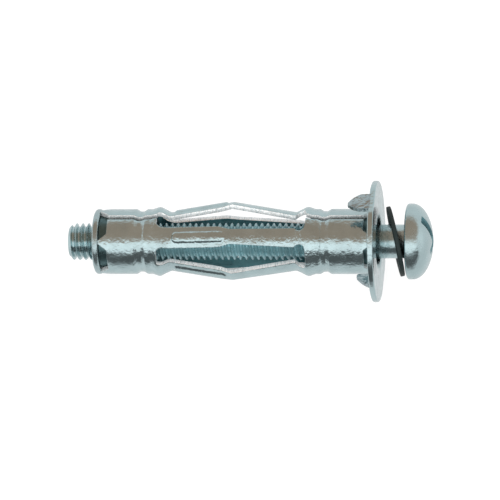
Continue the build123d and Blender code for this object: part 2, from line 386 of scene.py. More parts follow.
sleeve = {
    "panels": 5,
    "sheet": 0.65,
    "tubeRadius": 4.3,
    "bendRadius": 0.75,
    "seamClock": 90.0,  # where the row of panels starts
    "seamFrom": 89.3,
    "seamTo": 99.8,
    "seamEase": 1.0,
    "strayClock": 270.0,  # this leg is turned a little from its even place
    "strayShift": -5.0,
    "strayReach": (22.0, 50.0),  # whole shift up to the first, none past the second
    "section": [  # outer face from the nut end to the flange end
        (-36.13, 4.3), (-31.5, 4.3), (-31.0, 4.0), (-30.5, 4.0), (-30.0, 4.3), (-29.35, 4.3),
        (-28.35, 4.63), (-26.85, 3.875), (-18.5, 5.25), (-10.15, 3.875), (-8.65, 4.63),
        (-7.65, 4.3), (-7.0, 4.3), (-6.5, 4.0), (-6.0, 4.0), (-5.5, 4.3), (-0.02, 4.3),
    ],
    "grooves": ((-31.5, -30.0), (-7.0, -5.5)),
    "grooveBend": 0.14,
    "windowStart": -28.4,
    "windowEnd": -8.6,
    "legSide": [  # half the leg's width
        (-29.4, 1.85), (-28.4, 1.85), (-27.8, 1.4), (-20.0, 1.4), (-18.5, 1.0), (-9.4, 1.3), (-8.4, 1.3),
    ],
    "legCorner": 0.4,
    "notchPlace": -9.4,
    "notchSide": 1.74,
    "notchRadius": 0.8,
    "nutEdge": -35.0,
    "nutTongue": (1.125, 0.225),  # half widths at foot and tip
    "flangeEdge": -0.95,
    "flangeTongue": (1.35, 0.7),
    "tongueClocks": (-9.0, -6.0),  # nut end, flange end
    "ribMiddle": -22.75,
    "ribLength": 7.4,
    "ribWidth": 1.74,
    "ribCorner": 0.75,
    "ribHeight": 0.1,
    "ribRamp": 0.4,
    "ribCrown": 0.09,
    "edgeColumn": 0.13,
    "edgeRound": 0.085,
    "sharpAngle": 50.0,
    "legColumns": 26,
    "gapColumns": 7,
}


def sheetStations(spec, outer, inner):
    # every x at which the blank has a row
    lowest, highest = outer[0][0], outer[-1][0]
    fixed = [lowest, spec["nutEdge"], spec["windowStart"], spec["windowEnd"], spec["flangeEdge"], highest]
    wanted = [point[0] for point in outer] + [point[0] for point in inner]
    wanted += [spec["windowStart"] + step * 0.12 for step in range(-6, 10)]
    wanted += [spec["notchPlace"] + spec["notchRadius"] * cos(pi * step / 18) for step in range(19)]
    for side in (-1, 1):
        end = spec["ribMiddle"] + side * spec["ribLength"] / 2
        wanted += [end - side * step * 0.07 for step in range(-1, 11)]
    steps = int((highest - lowest) / 0.6)
    wanted += [lowest + (highest - lowest) * step / steps for step in range(steps + 1)]
    stations = list(fixed)
    for x in sorted(wanted):
        room = min(abs(x - other) for other in stations)
        nearEdge = min(abs(x - other) for other in fixed) < spec["edgeColumn"]
        if lowest < x < highest and room > 0.035 and not nearEdge:
            stations.append(x)
    return sorted(stations)


def legHalfWidth(spec, side, x):
    width = heightAt(side, x)
    away = x - spec["notchPlace"]
    if abs(away) < spec["notchRadius"]:
        waist = spec["notchSide"] - sqrt(spec["notchRadius"] ** 2 - away ** 2)
        width = waist if away > 0 else min(width, waist)
    elif away >= spec["notchRadius"]:
        width = spec["notchSide"]
    return width


def ribLift(spec, x, across):
    # rounded rectangle pressed out of the leg, its walls eased at foot and top
    fromEndX = abs(x - spec["ribMiddle"]) - (spec["ribLength"] / 2 - spec["ribCorner"])
    fromEndY = abs(across) - (spec["ribWidth"] / 2 - spec["ribCorner"])
    corner = sqrt(max(fromEndX, 0) ** 2 + max(fromEndY, 0) ** 2)
    inside = spec["ribCorner"] - corner - min(max(fromEndX, fromEndY), 0)
    crown = spec["ribCrown"] * max(1 - (2 * across / spec["ribWidth"]) ** 2, 0.0)
    return (spec["ribHeight"] + crown) * smoothStep(inside, 0, spec["ribRamp"])


def panelRow(spec, side, outer, x):
    # angles of the columns in degrees, for one panel about its leg
    radius = heightAt(outer, x)
    startWidth = legHalfWidth(spec, side, spec["windowStart"])
    startAngle = degrees(asin(startWidth / heightAt(outer, spec["windowStart"])))
    endAngle = degrees(asin(spec["notchSide"] / heightAt(outer, spec["windowEnd"])))
    if spec["windowStart"] <= x <= spec["windowEnd"]:
        half, centre = degrees(asin(legHalfWidth(spec, side, x) / radius)), 0.0
    else:
        nutSide = x < spec["windowStart"]
        edge = spec["nutEdge"] if nutSide else spec["flangeEdge"]
        window, windowAngle = (spec["windowStart"], startAngle) if nutSide else (spec["windowEnd"], endAngle)
        foot, tip = spec["nutTongue"] if nutSide else spec["flangeTongue"]
        tongueClock = spec["tongueClocks"][0 if nutSide else 1]
        tipPlace = outer[0][0] if nutSide else outer[-1][0]
        if (x < edge) == nutSide and x != edge:
            along = (x - edge) / (tipPlace - edge)
            half, centre = degrees(asin((foot + (tip - foot) * along) / radius)), tongueClock
        else:
            along = smoothStep((x - window) / (edge - window), 0, 1)
            half = windowAngle + (degrees(asin(foot / radius)) - windowAngle) * along
            centre = tongueClock * along
    edgeAngle = min(degrees(spec["edgeColumn"] / radius), half / 3)
    inner = half - edgeAngle
    legCount = spec["legColumns"] - 2
    leg = [-half] + [inner * (2 * step / legCount - 1) for step in range(legCount + 1)] + [half]
    border = 180 / spec["panels"]
    low, high = centre + leg[0], centre + leg[-1]
    gaps = spec["gapColumns"]
    left = [-border + (low + border) * step / gaps for step in range(gaps)]
    right = [high + (border - high) * (step + 1) / gaps for step in range(gaps)]
    return left + [centre + angle for angle in leg] + right


def sheetBlank(spec):
    # one flat panel with its thickness: x along, y around, z outwards from the tube

    def bendSize(corner):
        inGroove = any(low <= corner.x <= high for low, high in spec["grooves"])
        return spec["grooveBend"] if inGroove else spec["bendRadius"]

    outer = roundedLine(spec["section"], bendSize)
    inner = roundedLine([(x, r - spec["sheet"]) for x, r in spec["section"]], bendSize)
    side = roundedLine(spec["legSide"], spec["legCorner"])
    stations = sheetStations(spec, outer, inner)
    gaps, columns = spec["gapColumns"], spec["legColumns"] + 2 * spec["gapColumns"]
    shape = bmesh.new()
    rim = shape.faces.layers.float.new("rim")
    border = shape.faces.layers.float.new("border")
    inside = shape.faces.layers.float.new("inside")
    leftGap = shape.verts.layers.float.new("leftGap")
    rows = []
    for x in stations:
        atWindow = spec["windowStart"] < x < spec["windowEnd"]
        gapOpen = atWindow or x < spec["nutEdge"] or x > spec["flangeEdge"]
        row = {}
        for column, angle in enumerate(panelRow(spec, side, outer, x)):
            if gapOpen and not gaps <= column <= columns - gaps:
                continue
            radius, below = heightAt(outer, x), heightAt(inner, x)
            lift = ribLift(spec, x, radius * sin(radians(angle)))
            y = radians(angle) * spec["tubeRadius"]
            row[column] = [
                shape.verts.new(Vector((x, y, level + lift - spec["tubeRadius"])) * mm)
                for level in (radius, below)
            ]
            for vert in row[column]:
                vert[leftGap] = 1.0 if column < gaps else 0.0
        rows.append((x, row))

    def tubeBetween(near, far):
        middle = (near + far) / 2
        return not (
            spec["windowStart"] < middle < spec["windowEnd"]
            or middle < spec["nutEdge"] or middle > spec["flangeEdge"]
        )

    def cells(number):
        # columns of the sheet between row number and the next
        if not 0 <= number < len(rows) - 1:
            return set()
        full = tubeBetween(rows[number][0], rows[number + 1][0])
        return set(range(columns)) if full else set(range(gaps, columns - gaps))

    def addRim(one, two, borderSide=0.0):
        face = shape.faces.new((one[0], one[1], two[1], two[0]))
        face[rim] = 1.0
        face[border] = borderSide

    for number in range(len(rows) - 1):
        near, far = rows[number][1], rows[number + 1][1]
        here = cells(number)
        for column in here:
            a, b, c, d = near[column], far[column], far[column + 1], near[column + 1]
            shape.faces.new((a[0], b[0], c[0], d[0]))
            shape.faces.new((d[1], c[1], b[1], a[1]))[inside] = 1.0
            if column - 1 not in here:
                addRim(near[column], far[column], -1.0 if column == 0 else 0.0)
            if column + 1 not in here:
                addRim(far[column + 1], near[column + 1], 1.0 if column == columns - 1 else 0.0)
    for number in range(len(rows)):
        row = rows[number][1]
        before, after = cells(number - 1), cells(number)
        for column in after - before:
            addRim(row[column + 1], row[column])
        for column in before - after:
            addRim(row[column], row[column + 1])
    mesh = bpy.data.meshes.new("sleeveBlank")
    shape.to_mesh(mesh)
    shape.free()
    return mesh


def rollTree():
    # panels in a row, rolled about X with the seam where the two ends meet
    tree, given, result = newTree("rolledSheet", "GeometryNodeTree", [
        ("Geometry", "NodeSocketGeometry", None),
        ("Panels", "NodeSocketInt", 5),
        ("Tube Radius", "NodeSocketFloat", 4.3 * mm),
        ("Seam Clock", "NodeSocketFloat", pi / 2),
        ("Start Pull", "NodeSocketFloat", 0.8 * mm),
        ("End Pull", "NodeSocketFloat", 0.05 * mm),
        ("End Ease", "NodeSocketFloat", 1.0 * mm),
        ("Stray Clock", "NodeSocketFloat", 0.0),
        ("Stray Shift", "NodeSocketFloat", 0.0),
        ("Stray Near", "NodeSocketFloat", 0.0),
        ("Stray Far", "NodeSocketFloat", 1.0),
        ("Sheet Material", "NodeSocketMaterial", None),
        ("Inside Shade Material", "NodeSocketMaterial", None),
        ("Edge Material", "NodeSocketMaterial", None),
    ], [("Geometry", "NodeSocketGeometry", None)])
    calc, node = partial(mathNode, tree), partial(addNode, tree)
    around = calc("MULTIPLY", given["Tube Radius"], 2 * pi)
    width = calc("DIVIDE", around, given["Panels"])
    step = node("ShaderNodeCombineXYZ", {"Y": width}).outputs[0]
    first = node("ShaderNodeCombineXYZ", {"Y": calc("MULTIPLY", width, 0.5)}).outputs[0]
    line = node("GeometryNodeMeshLine", {
        "Count": given["Panels"], "Start Location": first, "Offset": step,
    })
    row = node("GeometryNodeInstanceOnPoints", {
        "Points": line.outputs[0], "Instance": given["Geometry"],
    })
    number = node("GeometryNodeInputIndex").outputs[0]
    named = node("GeometryNodeStoreNamedAttribute", {
        "Geometry": row.outputs[0], "Name": "panel", "Value": number,
    }, data_type="FLOAT", domain="INSTANCE")
    blank = node("GeometryNodeRealizeInstances", {"Geometry": named.outputs[0]}).outputs[0]

    def attribute(name):
        return node("GeometryNodeInputNamedAttribute", {"Name": name}, data_type="FLOAT").outputs[0]

    # side walls stay only at the two ends of the row
    panel, border = attribute("panel"), attribute("border")
    last = calc("SUBTRACT", given["Panels"], 1.5)
    leftWall = calc("LESS_THAN", border, -0.5)
    rightWall = calc("GREATER_THAN", border, 0.5)
    insideLeft = calc("MULTIPLY", leftWall, calc("GREATER_THAN", panel, 0.5))
    insideRight = calc("MULTIPLY", rightWall, calc("LESS_THAN", panel, last))
    inside = calc("GREATER_THAN", calc("ADD", insideLeft, insideRight), 0.5)
    rowOnly = node("GeometryNodeDeleteGeometry", {
        "Geometry": blank, "Selection": inside,
    }, domain="FACE", mode="ALL")

    # the first panel is cut off beside its leg
    place = placeParts(tree)
    cutOff = calc("MULTIPLY", attribute("leftGap"), calc("LESS_THAN", panel, 0.5))
    missing = calc("SUBTRACT", given["Start Pull"], place[1])
    trimmedY = calc("MULTIPLY_ADD", missing, cutOff, place[1])
    trimmedPlace = node("ShaderNodeCombineXYZ", {"X": place[0], "Y": trimmedY, "Z": place[2]})
    trimmed = node("GeometryNodeSetPosition", {
        "Geometry": rowOnly.outputs[0], "Position": trimmedPlace.outputs[0],
    })
    joined = node("GeometryNodeMergeByDistance", {
        "Geometry": trimmed.outputs[0], "Distance": mergeGap,
    })

    # roll
    toEnd = calc("DIVIDE", calc("SUBTRACT", around, place[1]), given["End Ease"])
    fromEnd = calc("MAXIMUM", calc("SUBTRACT", 1.0, toEnd), 0.0)
    along = calc("SUBTRACT", place[1], calc("MULTIPLY", fromEnd, given["End Pull"]))
    even = calc("ADD", calc("DIVIDE", along, given["Tube Radius"]), given["Seam Clock"])
    fromStray = calc("ABSOLUTE", calc("SUBTRACT", even, given["Stray Clock"]))
    strayShare = node("ShaderNodeMapRange", {
        0: fromStray, 1: given["Stray Near"], 2: given["Stray Far"], 3: 1.0, 4: 0.0,
    }, interpolation_type="SMOOTHSTEP").outputs[0]
    clock = calc("MULTIPLY_ADD", strayShare, given["Stray Shift"], even)
    radius = calc("ADD", place[2], given["Tube Radius"])
    rolled = aroundAxis(tree, place[0], clock, radius)
    tube = node("GeometryNodeSetPosition", {"Geometry": joined.outputs[0], "Position": rolled})
    whole = node("GeometryNodeRealizeInstances", {"Geometry": tube.outputs[0]})
    faces = paintFaces(tree, whole.outputs[0], given["Sheet Material"])
    # painted shade: the inner faces of the sheet take the darker inside material
    within = calc("GREATER_THAN", attribute("inside"), 0.5)
    insideShaded = paintFaces(tree, faces, given["Inside Shade Material"], within)
    cut = calc("GREATER_THAN", attribute("rim"), 0.5)
    edges = paintFaces(tree, insideShaded, given["Edge Material"], cut)
    tree.links.new(edges, result["Geometry"])
    return tree


sleevePiece = newPiece("sleeve_sheet", sheetBlank(sleeve))
useTree(sleevePiece, rollTree(), {
    "Panels": sleeve["panels"],
    "Tube Radius": sleeve["tubeRadius"] * mm,
    "Seam Clock": radians(sleeve["seamClock"]),
    "Start Pull": radians(sleeve["seamTo"] - sleeve["seamClock"]) * sleeve["tubeRadius"] * mm,
    "End Pull": radians(sleeve["seamClock"] - sleeve["seamFrom"]) * sleeve["tubeRadius"] * mm,
    "End Ease": sleeve["seamEase"] * mm,
    "Stray Clock": radians(sleeve["strayClock"]),
    "Stray Shift": radians(sleeve["strayShift"]),
    "Stray Near": radians(sleeve["strayReach"][0]),
    "Stray Far": radians(sleeve["strayReach"][1]),
    "Sheet Material": zincSheet,
    "Inside Shade Material": shadedInsideZinc,
    "Edge Material": cutEdge,
})
settle(sleevePiece)
roundEdges(sleevePiece, sleeve["edgeRound"], 2, sleeve["sharpAngle"])
smoothFaces(sleevePiece, sleeve["sharpAngle"])
print("sleeve rolled:", len(sleevePiece.data.polygons), "faces")


# nut: collar outside the sleeve, grooved neck inside it

nut = {
    "face": -37.0,
    "collar": 0.85,
    "collarRadius": 4.3,
    "collarEdge": 0.35,
    "neckEdge": 0.1,
    "neckRadius": 3.62,
    "grooveRadius": 3.32,
    "groove": (-31.5, -31.0, -30.5, -30.0),
    "end": -29.0,
    "boreRadius": 2.5,
    "boreChamfer": 0.3,
    "shadeMargin": 0.3,
    "segments": 96,
    "sharpAngle": 40.0,
}


def nutMesh(spec):
    inside = spec["face"] + spec["collar"]
    points = [
        (spec["face"], spec["boreRadius"] + spec["boreChamfer"]),
        (spec["face"], spec["collarRadius"]),
        (inside, spec["collarRadius"]),
        (inside, spec["neckRadius"]),
        (spec["groove"][0], spec["neckRadius"]),
        (spec["groove"][1], spec["grooveRadius"]),
        (spec["groove"][2], spec["grooveRadius"]),
        (spec["groove"][3], spec["neckRadius"]),
        (spec["end"], spec["neckRadius"]),
        (spec["end"], spec["boreRadius"] + spec["boreChamfer"]),
        (spec["end"] - spec["boreChamfer"], spec["boreRadius"]),
        (spec["face"] + spec["boreChamfer"], spec["boreRadius"]),
    ]

    def cornerSize(corner):
        return spec["collarEdge"] if corner.y > spec["neckRadius"] + 0.1 else spec["neckEdge"]

    return latheMesh("nut_body", roundedLine(points, cornerSize), spec["segments"], True)


def paintShadeInside(piece, radius, low, high):
    # painted shade: faces inside the sleeve take the last material, a darker zinc standing in for the shade
    # there
    last = len(piece.data.materials) - 1
    for face in piece.data.polygons:
        x, y, z = face.center / mm
        if low < x < high and y * y + z * z < radius * radius:
            face.material_index = last


nutPiece = newPiece("nut_body", nutMesh(nut))
nutPiece.data.materials.append(zincTurned)
# painted shade: the neck and bore inside the sleeve take the darker neck zinc
nutPiece.data.materials.append(shadedNeckZinc)
paintShadeInside(nutPiece, nut["neckRadius"] + nut["shadeMargin"], nut["face"] + nut["collar"] / 2, 0)
smoothFaces(nutPiece, nut["sharpAngle"])
print("nut turned")


# flange: disc with two flats, drawn neck, and a claw at each flat

flange = {
    "thickness": 0.75,
    "radius": 8.0,
    "edge": 0.2,
    "flat": 7.7,
    "neckRadius": 3.62,
    "neckWall": 0.45,
    "grooveDepth": 0.3,
    "groove": (-7.0, -6.5, -6.0, -5.5),
    "neckEnd": -7.6,
    "mouth": 0.95,
    "segments": 160,
    "clawLength": 2.8,
    "clawWidth": 2.6,
    "clawThickness": 0.7,
    "clawLean": 0.45,
    "clawBow": 0.1,
    "clawPoint": 0.5,
    "clawStraight": 0.4,
    "clawEdge": 0.05,
    "clawFoot": 0.45,
    "clawThinning": 0.12,  # of each face, towards the tip
    "clawSteps": 16,
    "claws": 2,
    "innerEdge": 0.12,
    "shadeMargin": 0.3,
    "sharpAngle": 40.0,
}


def flangeMesh(spec):
    outside, wall = spec["neckRadius"], spec["neckWall"]
    inside = outside - wall
    points = [
        (spec["neckEnd"], inside), (spec["neckEnd"], outside),
        (spec["groove"][0], outside), (spec["groove"][1], outside - spec["grooveDepth"]),
        (spec["groove"][2], outside - spec["grooveDepth"]), (spec["groove"][3], outside),
        (0, outside), (0, spec["radius"]),
        (spec["thickness"], spec["radius"]), (spec["thickness"], inside),
        (spec["groove"][3], inside), (spec["groove"][2], inside - spec["grooveDepth"]),
        (spec["groove"][1], inside - spec["grooveDepth"]), (spec["groove"][0], inside),
    ]

    def cornerSize(corner):
        if corner.y > 7:
            return spec["edge"]
        if corner.x > 0.5:
            return spec["mouth"]
        return spec["innerEdge"]

    def flats(x, r, clock):
        # the rim follows the flats, with its rounded edges
        height = abs(sin(radians(clock)))
        limit = min(spec["radius"], spec["flat"] / max(height, 0.1))
        return r - (spec["radius"] - limit) * smoothStep(r, 6.6, 7.4)

    line = roundedLine([Vector(point) for point in points], cornerSize)
    return latheMesh("flange_disc", line, spec["segments"], True, flats)


def clawMesh(spec):
    # one claw standing on the upper flat: a bent strip cut to a point
    shape = bmesh.new()
    length, top = spec["clawLength"], spec["flat"]
    rows = []
    steps, foot = spec["clawSteps"], spec["clawFoot"]
    for step in range(steps + 1):
        along = foot - (length + foot) * step / steps
        reach = max(-along / length, 0.0)
        bow = 4 * spec["clawBow"] * reach * (1 - reach)
        thinner = spec["clawThinning"] * smoothStep(reach, 0.75, 1.0)
        face = top - spec["clawLean"] * reach + bow
        outer = face - thinner
        inner = face - spec["clawThickness"] + thinner
        narrow = max((reach - spec["clawStraight"]) / (1 - spec["clawStraight"]), 0.0)
        half = spec["clawWidth"] / 2 + (spec["clawPoint"] - spec["clawWidth"]) / 2 * narrow
        half += spec["clawBow"] * 4 * narrow * (1 - narrow)
        rows.append([
            shape.verts.new(Vector((along, side * half, height)) * mm)
            for side, height in ((-1, outer), (1, outer), (1, inner), (-1, inner))
        ])
    for near, far in zip(rows, rows[1:]):
        for corner in range(4):
            after = (corner + 1) % 4
            shape.faces.new((near[corner], near[after], far[after], far[corner]))
    shape.faces.new(rows[0])
    shape.faces.new(rows[-1])
    return toMesh("claw", shape)


def clawTree():
    # the same claw at equal steps about X
    tree, given, result = newTree("clawsAround", "GeometryNodeTree", [
        ("Geometry", "NodeSocketGeometry", None),
        ("Claws", "NodeSocketInt", 2),
        ("Claw Material", "NodeSocketMaterial", None),
    ], [("Geometry", "NodeSocketGeometry", None)])
    calc, node = partial(mathNode, tree), partial(addNode, tree)
    points = node("GeometryNodeMeshLine", {"Count": given["Claws"], "Offset": (0, 0, 0)}).outputs[0]
    number = node("GeometryNodeInputIndex").outputs[0]
    turn = calc("DIVIDE", calc("MULTIPLY", number, 2 * pi), given["Claws"])
    rotation = node("ShaderNodeCombineXYZ", {"X": turn}).outputs[0]
    ring = node("GeometryNodeInstanceOnPoints", {
        "Points": points, "Instance": given["Geometry"], "Rotation": rotation,
    })
    whole = node("GeometryNodeRealizeInstances", {"Geometry": ring.outputs[0]})
    tree.links.new(paintFaces(tree, whole.outputs[0], given["Claw Material"]), result["Geometry"])
    return tree


clawPiece = newPiece("claws", clawMesh(flange))
roundEdges(clawPiece, flange["clawEdge"], 3, flange["sharpAngle"])
useTree(clawPiece, clawTree(), {"Claws": flange["claws"], "Claw Material": zincClaw})
settle(clawPiece)

flangePiece = newPiece("flange_plate", flangeMesh(flange))
flangePiece.data.materials.append(zincSheet)
combine(flangePiece, clawPiece, "UNION")
settle(flangePiece)
bpy.data.objects.remove(clawPiece)
# painted shade: the drawn neck and its bore take the darker neck zinc
flangePiece.data.materials.append(shadedNeckZinc)
shadeMargin = flange["shadeMargin"]
paintShadeInside(flangePiece, flange["neckRadius"] + shadeMargin, flange["neckEnd"] - 1, -shadeMargin)
smoothFaces(flangePiece, flange["sharpAngle"])
print("flange drawn:", len(flangePiece.data.polygons), "faces")


# screw: threaded rod, smooth shank, domed head with slot and cross recess

screw = {
    "tip": -40.5,
    "threadEnd": -3.0,
    "pitch": 0.8,
    "crestRadius": 2.45,
    "rootRadius": 1.97,
    "tipCone": 0.5,
    "runOut": 0.9,
    "shankRadius": 2.235,
    "headFace": 4.5,
    "headRadius": 5.0,
    "headWall": 0.7,
    "headHeight": 3.4,
    "headEdge": 0.5,
    "underEdge": 0.15,
    "slotWidth": 1.2,
    "slotDepth": 1.25,
    "recessSpan": 4.0,
    "recessWing": 0.95,
    "recessDepth": 2.0,
    "recessTaper": 9.0,
    "cutterAbove": 0.4,
    "seamMerge": 0.003,
    "segments": 64,
    "sharpAngle": 38.0,
}


def threadTree():
    # a strip wound about X whose two long sides meet, clamped to the rod's ends
    tree, given, result = newTree("windThread", "GeometryNodeTree", [
        ("Geometry", "NodeSocketGeometry", None),
        ("Turns", "NodeSocketInt", 49),
        ("Steps", "NodeSocketInt", 64),
        ("Pitch", "NodeSocketFloat", 0.8 * mm),
        ("Tip", "NodeSocketFloat", 0.0),
        ("End", "NodeSocketFloat", 0.0),
        ("Crest Radius", "NodeSocketFloat", 0.0),
        ("Root Radius", "NodeSocketFloat", 0.0),
        ("Tip Cone", "NodeSocketFloat", 0.0),
        ("Run Out", "NodeSocketFloat", 0.0),
        ("Shank Radius", "NodeSocketFloat", 0.0),
        ("Thread Material", "NodeSocketMaterial", None),
    ], [("Geometry", "NodeSocketGeometry", None)])
    calc, node = partial(mathNode, tree), partial(addNode, tree)
    rows = calc("ADD", calc("MULTIPLY", given["Turns"], given["Steps"]), 1.0)
    strip = node("GeometryNodeMeshGrid", {
        "Size X": 1.0, "Size Y": 1.0, "Vertices X": rows, "Vertices Y": 9,
    })
    flat = placeParts(tree)
    turn = calc("MULTIPLY", calc("ADD", flat[0], 0.5), given["Turns"])
    across = calc("ADD", flat[1], 0.5)

    # root, flank and crest across one pitch
    fromCrest = calc("ABSOLUTE", calc("SUBTRACT", across, 0.5))
    rise = node("ShaderNodeMapRange", {0: fromCrest, 1: 0.4, 2: 0.07, 3: 0.0, 4: 1.0}).outputs[0]
    depth = calc("SUBTRACT", given["Crest Radius"], given["Root Radius"])
    profile = calc("MULTIPLY_ADD", rise, depth, given["Root Radius"])

    wound = calc("MULTIPLY", calc("ADD", turn, across), given["Pitch"])
    free = calc("ADD", wound, calc("SUBTRACT", given["Tip"], given["Pitch"]))
    x = calc("MINIMUM", calc("MAXIMUM", free, given["Tip"]), given["End"])
    fromTip = calc("DIVIDE", calc("SUBTRACT", x, given["Tip"]), given["Tip Cone"])
    cone = calc("MULTIPLY_ADD", fromTip, depth, given["Root Radius"])
    tipped = calc("MINIMUM", profile, cone)
    toEnd = calc("DIVIDE", calc("SUBTRACT", given["End"], x), given["Run Out"])
    keep = calc("MINIMUM", toEnd, 1.0)
    overShank = calc("SUBTRACT", tipped, given["Shank Radius"])
    radius = calc("MULTIPLY_ADD", overShank, keep, given["Shank Radius"])

    # right hand: the clock falls as x grows
    clock = calc("MULTIPLY", turn, -2 * pi)
    place = aroundAxis(tree, x, clock, radius)
    rod = node("GeometryNodeSetPosition", {"Geometry": strip.outputs[0], "Position": place})
    joined = node("GeometryNodeMergeByDistance", {
        "Geometry": rod.outputs[0], "Distance": mergeGap,
    })
    whole = node("GeometryNodeRealizeInstances", {"Geometry": joined.outputs[0]})
    tree.links.new(paintFaces(tree, whole.outputs[0], given["Thread Material"]), result["Geometry"])
    return tree


def headMesh(spec):
    # from the end of the thread over the shank to the middle of the dome, open at the thread
    rise = spec["headHeight"] - spec["headWall"]
    foot = spec["headFace"] + spec["headWall"]
    dome = [
        Vector((foot + rise * sin(pi / 2 * step / 24), spec["headRadius"] * cos(pi / 2 * step / 24)))
        for step in range(24)
    ]
    points = [
        Vector((spec["threadEnd"], spec["shankRadius"])),
        Vector((spec["headFace"], spec["shankRadius"])),
        Vector((spec["headFace"], spec["headRadius"])),
        dome[0],
    ]

    def cornerSize(corner):
        return spec["headEdge"] if corner.y > spec["shankRadius"] + 1 else spec["underEdge"]

    line = roundedLine(points, cornerSize) + dome[1:] + [Vector((foot + rise, 0.0))]
    return latheMesh("screw_head", line, spec["segments"], False)


def boxCutter(shape, bottom, top, bottomHalf, topHalf):
    # a block along X between two planes, tapered
    corners = []
    for x, half in ((bottom, bottomHalf), (top, topHalf)):
        corners.append([
            shape.verts.new(Vector((x, y * half[0], z * half[1])) * mm)
            for y, z in ((-1, -1), (1, -1), (1, 1), (-1, 1))
        ])
    low, high = corners
    shape.faces.new(low)
    shape.faces.new(high)
    for number in range(4):
        after = (number + 1) % 4
        shape.faces.new((low[number], low[after], high[after], high[number]))


def driveCutter(spec):
    # slot across the dome and the cross recess in its middle
    cutters = []
    top = spec["headFace"] + spec["headHeight"]
    above = spec["cutterAbove"]
    slotHalf = (spec["slotWidth"] / 2, spec["headRadius"] + 0.5)
    grow = tan(radians(spec["recessTaper"]))
    wing, span, depth = spec["recessWing"] / 2, spec["recessSpan"] / 2, spec["recessDepth"]
    for bottom, low, high in (
        (top - spec["slotDepth"], slotHalf, slotHalf),
        (top - depth, (span - grow * depth, wing - grow * depth), (span + grow * above, wing + grow * above)),
        (top - depth, (wing - grow * depth, span - grow * depth), (wing + grow * above, span + grow * above)),
    ):
        shape = bmesh.new()
        boxCutter(shape, bottom, top + above, low, high)
        cutters.append(newPiece("driveCutter", toMesh("driveCutter", shape)))
        # painted shade: the slot and recess walls take the darker thread zinc
        cutters[-1].data.materials.append(shadedThreadZinc)
    return cutters


def screwMesh(spec, threadMesh):
    # thread, shank and head as one closed shell, with the flat tip closed
    shape = bmesh.new()
    shape.from_mesh(threadMesh)
    shape.from_mesh(headMesh(spec))
    bmesh.ops.remove_doubles(shape, verts=shape.verts, dist=spec["seamMerge"] * mm)
    for face in shape.faces:
        face.material_index = 0
    tip = [edge for edge in shape.edges if edge.is_boundary]
    bmesh.ops.holes_fill(shape, edges=tip, sides=0)
    return toMesh("screw_body", shape)


threadPiece = newPiece("screw_thread", bpy.data.meshes.new("screw_thread"))
turns = int((screw["threadEnd"] - screw["tip"]) / screw["pitch"]) + 3
useTree(threadPiece, threadTree(), {
    "Turns": turns,
    "Steps": screw["segments"],
    "Pitch": screw["pitch"] * mm,
    "Tip": screw["tip"] * mm,
    "End": screw["threadEnd"] * mm,
    "Crest Radius": screw["crestRadius"] * mm,
    "Root Radius": screw["rootRadius"] * mm,
    "Tip Cone": screw["tipCone"] * mm,
    "Run Out": screw["runOut"] * mm,
    "Shank Radius": screw["shankRadius"] * mm,
    "Thread Material": shadedThreadZinc,
})
settle(threadPiece)
screwPiece = newPiece("screw_body", screwMesh(screw, threadPiece.data))
bpy.data.objects.remove(threadPiece)
screwPiece.data.materials.append(zincScrew)
screwPiece.data.materials.append(shadedThreadZinc)
cutters = driveCutter(screw)
for cutter in cutters:
    combine(screwPiece, cutter, "DIFFERENCE")
settle(screwPiece)
for cutter in cutters:
    bpy.data.objects.remove(cutter)
# painted shade: the thread within the nut and sleeve takes the darker thread zinc
paintShadeInside(screwPiece, screw["crestRadius"] + 0.1, nut["face"], screw["threadEnd"])
smoothFaces(screwPiece, screw["sharpAngle"])
print("screw threaded:", len(screwPiece.data.polygons), "faces")


# washer: loose on the shank, leaning

washer = {
    "radius": 4.7,
    "holeRadius": 2.418,
    "thickness": 0.56,
    "edge": 0.12,
    "middle": 2.92,
    "lean": 14.7,
    "leanTurn": -82.0,  # from straight up, the side that leans to the flange
    "segments": 96,
    "sharpAngle": 40.0,
}


def washerMesh(spec):
    half = spec["thickness"] / 2
    points = [Vector(point) for point in (
        (0, spec["holeRadius"]), (-half, spec["holeRadius"]), (-half, spec["radius"]),
        (half, spec["radius"]), (half, spec["holeRadius"]), (0, spec["holeRadius"]),
    )]
    line = roundedLine(points, spec["edge"])[:-1]
    mesh = latheMesh("washer_ring", line, spec["segments"], True)
    side = Matrix.Rotation(radians(spec["leanTurn"]), 3, "X") @ Vector((0, 0, 1))
    normal = Vector((cos(radians(spec["lean"])), 0, 0)) + side * sin(radians(spec["lean"]))
    turn = Vector((1, 0, 0)).rotation_difference(normal).to_matrix().to_4x4()
    mesh.transform(Matrix.Translation(Vector((spec["middle"] * mm, 0, 0))) @ turn)
    return mesh


washerPiece = newPiece("washer_ring", washerMesh(washer))
washerPiece.data.materials.append(blackRubber)
smoothFaces(washerPiece, washer["sharpAngle"])
print("washer cut")


# pieces to bodies, each in place of its CAD node

for piece, body, node, slot in (
    (sleevePiece, "anchor", "sleeve", "zinc_sheet"),
    (nutPiece, "anchor", "nut", "zinc_turned"),
    (flangePiece, "anchor", "flange", "zinc_sheet"),
    (washerPiece, "washer", "washer", "black_rubber"),
    (screwPiece, "screw", "screw", "zinc_screw"),
):
    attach(piece, body)
    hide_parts(node)
print("pieces placed")


# studio: white floor, four plain cards that the metal mirrors, soft lamps

